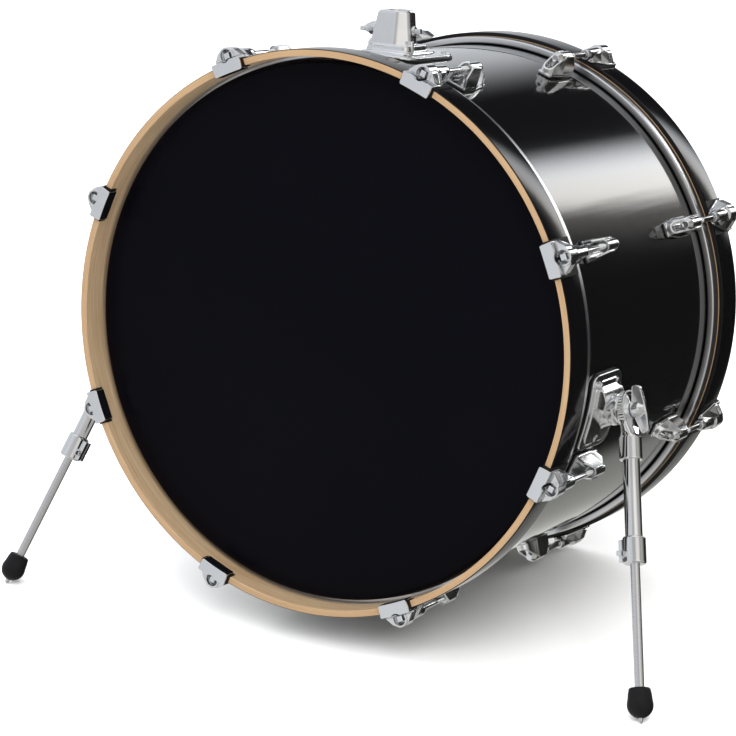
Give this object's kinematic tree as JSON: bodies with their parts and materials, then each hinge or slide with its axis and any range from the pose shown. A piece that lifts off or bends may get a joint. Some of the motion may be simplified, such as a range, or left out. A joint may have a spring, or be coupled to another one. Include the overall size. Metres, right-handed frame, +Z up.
{
  "type": "bass drum",
  "caption": "Black lacquered bass drum with natural wood hoop edges, claw-hook tuning, a tom holder receiver on top and folding telescopic spurs.",
  "frame": {"origin": "on the floor, under the middle of the whole drum's bounding box", "axes": "+Z up, -Y the way the front head faces, +X across the drum to the right as seen from the front"},
  "size_m": [0.7876, 0.4737, 0.6362],
  "materials": {
    "black_lacquer": "high gloss black lacquer over birch",
    "hoop_wood": "natural edge and inside, black lacquered outside",
    "film": "glossy black film",
    "satin_metal": "satin",
    "chrome": "polished",
    "rubber": "matt black"
  },
  "bodies": {
    "drum": {"shell": "black_lacquer", "vent_grommet": "chrome", "front_hoop": "hoop_wood", "rear_hoop": "hoop_wood", "front_head": "film", "rear_head": "film", "front_collar": "film", "rear_collar": "film", "front_flesh_hoop": "satin_metal", "rear_flesh_hoop": "satin_metal", "front_claws": "chrome", "rear_claws": "chrome", "claw_gaskets": "rubber", "front_lugs": "chrome", "rear_lugs": "chrome", "lug_gaskets": "rubber", "lug_nuts": "satin_metal", "lug_screws": "satin_metal", "rod_washers": "satin_metal", "tom_gasket": "rubber", "tom_receiver": "chrome", "tom_clamp_shoe": "satin_metal", "tom_lock_bolt": "chrome", "tom_screws": "chrome", "left_spur_gasket": "rubber", "left_spur_bracket": "chrome", "left_spur_screws": "chrome", "right_spur_gasket": "rubber", "right_spur_bracket": "chrome", "right_spur_screws": "chrome"},
    "front_rod_1": {"front_rod_1": "chrome"},
    "front_rod_2": {"front_rod_2": "chrome"},
    "front_rod_3": {"front_rod_3": "chrome"},
    "front_rod_4": {"front_rod_4": "chrome"},
    "front_rod_5": {"front_rod_5": "chrome"},
    "front_rod_6": {"front_rod_6": "chrome"},
    "front_rod_7": {"front_rod_7": "chrome"},
    "front_rod_8": {"front_rod_8": "chrome"},
    "rear_rod_1": {"rear_rod_1": "chrome"},
    "rear_rod_2": {"rear_rod_2": "chrome"},
    "rear_rod_3": {"rear_rod_3": "chrome"},
    "rear_rod_4": {"rear_rod_4": "chrome"},
    "rear_rod_5": {"rear_rod_5": "chrome"},
    "rear_rod_6": {"rear_rod_6": "chrome"},
    "rear_rod_7": {"rear_rod_7": "chrome"},
    "rear_rod_8": {"rear_rod_8": "chrome"},
    "tom_wing_bolt": {"tom_wing_bolt": "chrome"},
    "left_leg": {"left_leg_tube": "chrome", "left_leg_collar": "chrome"},
    "left_leg_rod": {"left_leg_rod": "satin_metal"},
    "left_foot": {"left_foot": "rubber"},
    "left_wing_bolt": {"left_wing_bolt": "chrome"},
    "left_collar_screw": {"left_collar_screw": "chrome"},
    "right_leg": {"right_leg_tube": "chrome", "right_leg_collar": "chrome"},
    "right_leg_rod": {"right_leg_rod": "satin_metal"},
    "right_foot": {"right_foot": "rubber"},
    "right_wing_bolt": {"right_wing_bolt": "chrome"},
    "right_collar_screw": {"right_collar_screw": "chrome"}
  },
  "joints": [
    {"name": "front_rod_1_turn", "type": "hinge", "parent": "drum", "child": "front_rod_1", "pos_m": [0.11385, -0.17494, 0.60038], "axis": [0, -0.9956, 0.0935], "continuous": true},
    {"name": "front_rod_2_turn", "type": "hinge", "parent": "drum", "child": "front_rod_2", "pos_m": [0.27485, -0.18999, 0.44008], "axis": [0, -0.9956, 0.0935], "continuous": true},
    {"name": "front_rod_3_turn", "type": "hinge", "parent": "drum", "child": "front_rod_3", "pos_m": [0.27485, -0.21128, 0.21338], "axis": [0, -0.9956, 0.0935], "continuous": true},
    {"name": "front_rod_4_turn", "type": "hinge", "parent": "drum", "child": "front_rod_4", "pos_m": [0.11385, -0.22633, 0.05308], "axis": [0, -0.9956, 0.0935], "continuous": true},
    {"name": "front_rod_5_turn", "type": "hinge", "parent": "drum", "child": "front_rod_5", "pos_m": [-0.11385, -0.22633, 0.05308], "axis": [0, -0.9956, 0.0935], "continuous": true},
    {"name": "front_rod_6_turn", "type": "hinge", "parent": "drum", "child": "front_rod_6", "pos_m": [-0.27485, -0.21128, 0.21338], "axis": [0, -0.9956, 0.0935], "continuous": true},
    {"name": "front_rod_7_turn", "type": "hinge", "parent": "drum", "child": "front_rod_7", "pos_m": [-0.27485, -0.18999, 0.44008], "axis": [0, -0.9956, 0.0935], "continuous": true},
    {"name": "front_rod_8_turn", "type": "hinge", "parent": "drum", "child": "front_rod_8", "pos_m": [-0.11385, -0.17494, 0.60038], "axis": [0, -0.9956, 0.0935], "continuous": true},
    {"name": "rear_rod_1_turn", "type": "hinge", "parent": "drum", "child": "rear_rod_1", "pos_m": [0.11385, 0.23127, 0.56224], "axis": [0, 0.9956, -0.0935], "continuous": true},
    {"name": "rear_rod_2_turn", "type": "hinge", "parent": "drum", "child": "rear_rod_2", "pos_m": [0.27485, 0.21622, 0.40194], "axis": [0, 0.9956, -0.0935], "continuous": true},
    {"name": "rear_rod_3_turn", "type": "hinge", "parent": "drum", "child": "rear_rod_3", "pos_m": [0.27485, 0.19494, 0.17524], "axis": [0, 0.9956, -0.0935], "continuous": true},
    {"name": "rear_rod_4_turn", "type": "hinge", "parent": "drum", "child": "rear_rod_4", "pos_m": [0.11385, 0.17989, 0.01494], "axis": [0, 0.9956, -0.0935], "continuous": true},
    {"name": "rear_rod_5_turn", "type": "hinge", "parent": "drum", "child": "rear_rod_5", "pos_m": [-0.11385, 0.17989, 0.01494], "axis": [0, 0.9956, -0.0935], "continuous": true},
    {"name": "rear_rod_6_turn", "type": "hinge", "parent": "drum", "child": "rear_rod_6", "pos_m": [-0.27485, 0.19494, 0.17524], "axis": [0, 0.9956, -0.0935], "continuous": true},
    {"name": "rear_rod_7_turn", "type": "hinge", "parent": "drum", "child": "rear_rod_7", "pos_m": [-0.27485, 0.21622, 0.40194], "axis": [0, 0.9956, -0.0935], "continuous": true},
    {"name": "rear_rod_8_turn", "type": "hinge", "parent": "drum", "child": "rear_rod_8", "pos_m": [-0.11385, 0.23127, 0.56224], "axis": [0, 0.9956, -0.0935], "continuous": true},
    {"name": "tom_wing_bolt_turn", "type": "hinge", "parent": "drum", "child": "tom_wing_bolt", "pos_m": [-0.02, -0.02298, 0.61418], "axis": [-1, 0, 0], "range_deg": [0, 180]},
    {"name": "left_spur_fold", "type": "hinge", "parent": "drum", "child": "left_leg", "pos_m": [-0.30279, -0.09306, 0.26574], "axis": [0.9583, -0.0267, -0.2844], "range_deg": [0, 111.4]},
    {"name": "left_leg_rod_slide", "type": "slide", "parent": "left_leg", "child": "left_leg_rod", "axis": [-0.266, -0.4467, -0.8542], "range_m": [-0.077, 0.0075]},
    {"name": "left_foot_slide", "type": "slide", "parent": "left_leg_rod", "child": "left_foot", "axis": [-0.266, -0.4467, -0.8542], "range_m": [-0.013, 0.0045]},
    {"name": "left_wing_bolt_turn", "type": "hinge", "parent": "drum", "child": "left_wing_bolt", "pos_m": [-0.30279, -0.09306, 0.26574], "axis": [-0.9583, 0.0267, 0.2844], "range_deg": [0, 180]},
    {"name": "left_collar_screw_turn", "type": "hinge", "parent": "left_leg", "child": "left_collar_screw", "pos_m": [-0.33149, -0.15811, 0.13894], "axis": [0.1042, -0.8943, 0.4352], "range_deg": [0, 180]},
    {"name": "right_spur_fold", "type": "hinge", "parent": "drum", "child": "right_leg", "pos_m": [0.30279, -0.09306, 0.26574], "axis": [0.9583, 0.0267, 0.2844], "range_deg": [0, 111.4]},
    {"name": "right_leg_rod_slide", "type": "slide", "parent": "right_leg", "child": "right_leg_rod", "axis": [0.266, -0.4467, -0.8542], "range_m": [-0.077, 0.0075]},
    {"name": "right_foot_slide", "type": "slide", "parent": "right_leg_rod", "child": "right_foot", "axis": [0.266, -0.4467, -0.8542], "range_m": [-0.013, 0.0045]},
    {"name": "right_wing_bolt_turn", "type": "hinge", "parent": "drum", "child": "right_wing_bolt", "pos_m": [0.30279, -0.09306, 0.26574], "axis": [0.9583, 0.0267, 0.2844], "range_deg": [0, 180]},
    {"name": "right_collar_screw_turn", "type": "hinge", "parent": "right_leg", "child": "right_collar_screw", "pos_m": [0.33149, -0.15811, 0.13894], "axis": [-0.1042, -0.8943, 0.4352], "range_deg": [0, 180]}
  ]
}
